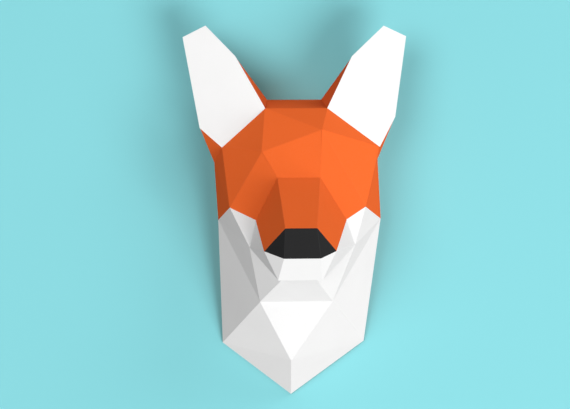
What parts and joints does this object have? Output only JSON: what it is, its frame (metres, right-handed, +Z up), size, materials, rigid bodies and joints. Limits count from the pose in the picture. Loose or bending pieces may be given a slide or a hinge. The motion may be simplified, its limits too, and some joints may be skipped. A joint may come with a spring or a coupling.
{
  "type": "papercraft fox head wall hanging",
  "caption": "Low-poly fox head folded from orange, white and black card, closed by a flat back with a hanging hole.",
  "frame": {"origin": "on the back that lies on the wall, on the head's middle line, 94 mm under the centre of the hanging hole", "axes": "+Z up towards the ears, +Y out of the back into the wall, the nose points along -Y"},
  "size_m": [0.238, 0.1579, 0.3999],
  "materials": {
    "orange_card": "matt",
    "white_card": "matt",
    "black_card": "matt",
    "back_board": "matt"
  },
  "bodies": {
    "root": {"nose": "black_card", "muzzle": "white_card", "ear_front_left": "white_card", "ear_front_right": "white_card", "crown": "orange_card", "snout": "orange_card", "cheek_left": "white_card", "cheek_right": "white_card", "face_side_left": "orange_card", "face_side_right": "orange_card", "jaw": "white_card", "chest": "white_card", "bib_tip": "white_card", "neck_side_left": "white_card", "neck_side_right": "white_card", "ear_back_left": "orange_card", "ear_back_right": "orange_card", "side_panel_left": "orange_card", "side_panel_right": "orange_card", "back_panel": "back_board"}
  },
  "joints": []
}
